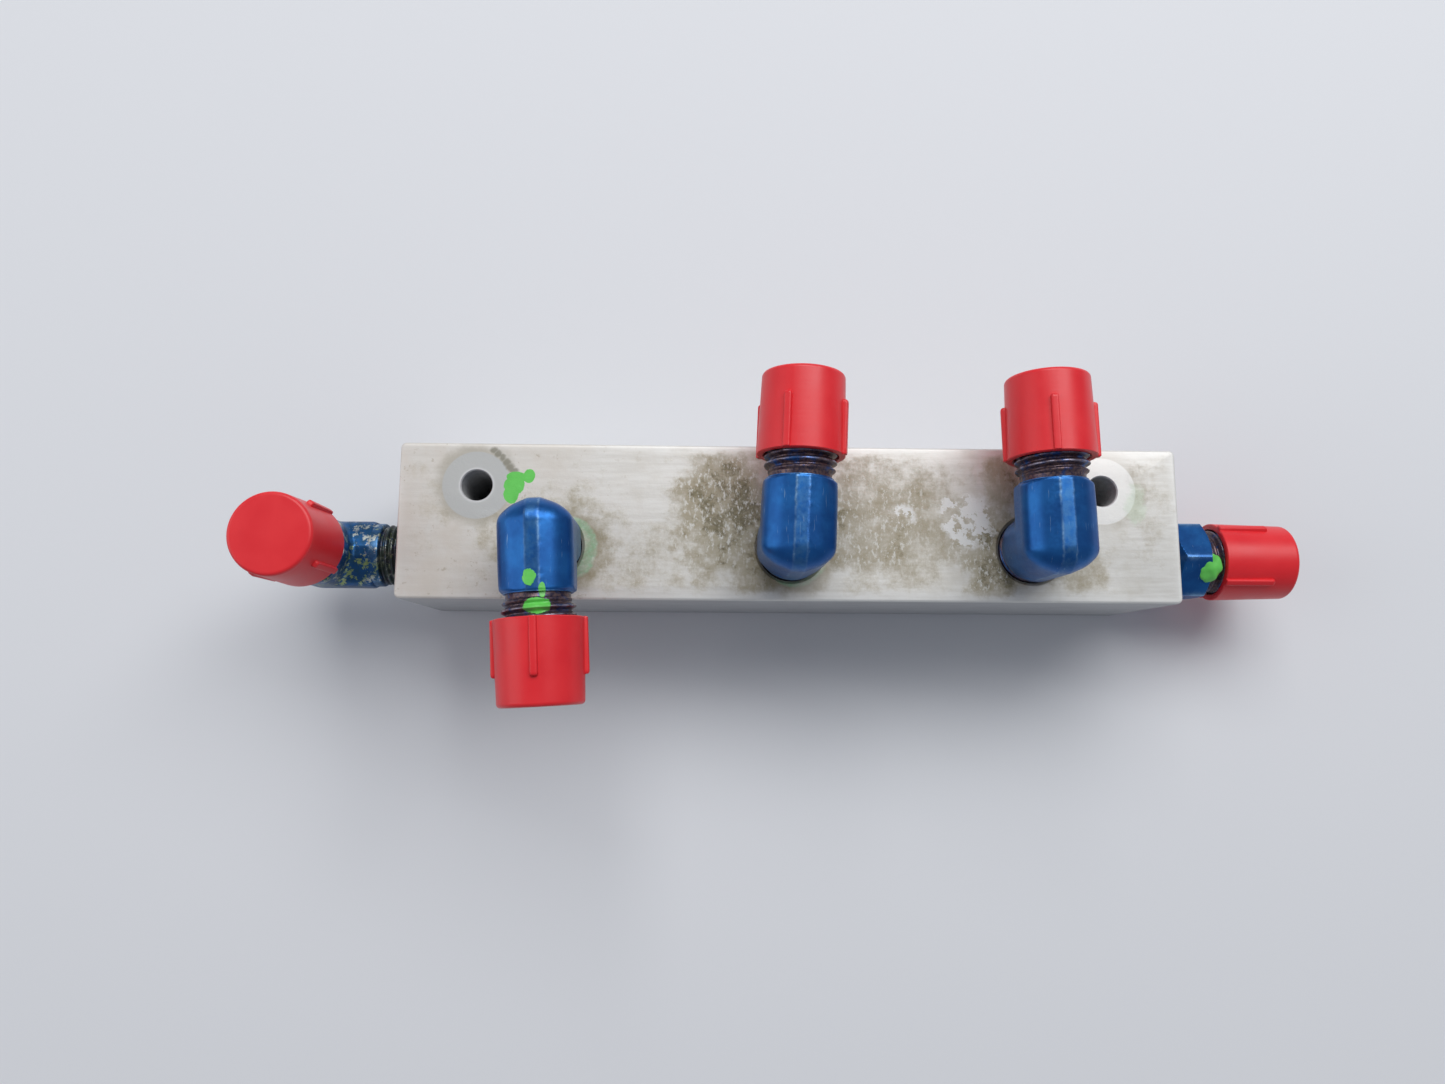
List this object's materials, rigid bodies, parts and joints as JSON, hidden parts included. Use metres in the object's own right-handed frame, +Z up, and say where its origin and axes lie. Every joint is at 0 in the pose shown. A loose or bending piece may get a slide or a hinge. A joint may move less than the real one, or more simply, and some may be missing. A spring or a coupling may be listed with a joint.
{
  "type": "flow control valve",
  "caption": "Flow control valve: a drilled aluminium bar with blue flared-tube elbows and an end nipple, red dust caps, bolt holes, and a flow regulator and check valve inside.",
  "frame": {"origin": "centre of the bar's bottom face, which is its mounting face", "axes": "+Z up out of the bar's top face with the three upper elbows, +X along the bar towards the inlet nipple, +Y towards the side that the bolt holes are nearer to"},
  "size_m": [0.1736, 0.0509, 0.0467],
  "materials": {
    "bar_aluminium": "worn bare machined surface, stained round the ports",
    "fitting_blue": "blue anodised forging, satin, worn on its edges",
    "cap_red": "satin moulded polyethylene",
    "steel": "ground",
    "stainless": "bright",
    "brass": "turned",
    "seal_rubber": "matte"
  },
  "bodies": {
    "manifold": {"valve_block": "bar_aluminium", "elbow_left_end": "fitting_blue", "elbow_top_left": "fitting_blue", "elbow_top_middle": "fitting_blue", "elbow_top_right": "fitting_blue", "nipple_right_end": "fitting_blue", "restrictor_jet_left": "brass", "restrictor_jet_middle": "brass", "restrictor_jet_right": "brass", "inlet_screen": "stainless", "regulator_sleeve": "steel", "regulator_seal": "seal_rubber", "regulator_spring": "stainless", "piston_stop_ring": "stainless", "regulator_retaining_ring": "stainless", "check_seat": "brass", "check_seal": "seal_rubber", "check_spring": "stainless", "check_guide": "brass", "check_retaining_ring": "stainless"},
    "left_end_cap": {"cap_left_end": "cap_red"},
    "top_left_cap": {"cap_top_left": "cap_red"},
    "top_middle_cap": {"cap_top_middle": "cap_red"},
    "top_right_cap": {"cap_top_right": "cap_red"},
    "right_end_cap": {"cap_right_end": "cap_red"},
    "piston": {"regulator_piston": "steel"},
    "poppet": {"check_poppet": "stainless"}
  },
  "joints": [
    {"name": "left_end_cap_pull", "type": "slide", "parent": "manifold", "child": "left_end_cap", "axis": [0, 0, 1], "range_m": [0, 0.016]},
    {"name": "top_left_cap_pull", "type": "slide", "parent": "manifold", "child": "top_left_cap", "axis": [0.0558, -0.9984, 0], "range_m": [0, 0.016]},
    {"name": "top_middle_cap_pull", "type": "slide", "parent": "manifold", "child": "top_middle_cap", "axis": [0.0419, 0.9991, 0], "range_m": [0, 0.016]},
    {"name": "top_right_cap_pull", "type": "slide", "parent": "manifold", "child": "top_right_cap", "axis": [-0.0209, 0.9998, 0], "range_m": [0, 0.016]},
    {"name": "right_end_cap_pull", "type": "slide", "parent": "manifold", "child": "right_end_cap", "axis": [1, 0, 0], "range_m": [0, 0.016]},
    {"name": "piston_travel", "type": "slide", "parent": "manifold", "child": "piston", "axis": [-1, 0, 0], "range_m": [0, 0.0028], "stiffness_N_per_m": 400, "springref_m": -0.0025, "deforming": ["regulator_spring"]},
    {"name": "poppet_lift", "type": "slide", "parent": "manifold", "child": "poppet", "axis": [-1, 0, 0], "range_m": [0, 0.002], "stiffness_N_per_m": 250, "springref_m": -0.002, "deforming": ["check_spring"]}
  ]
}
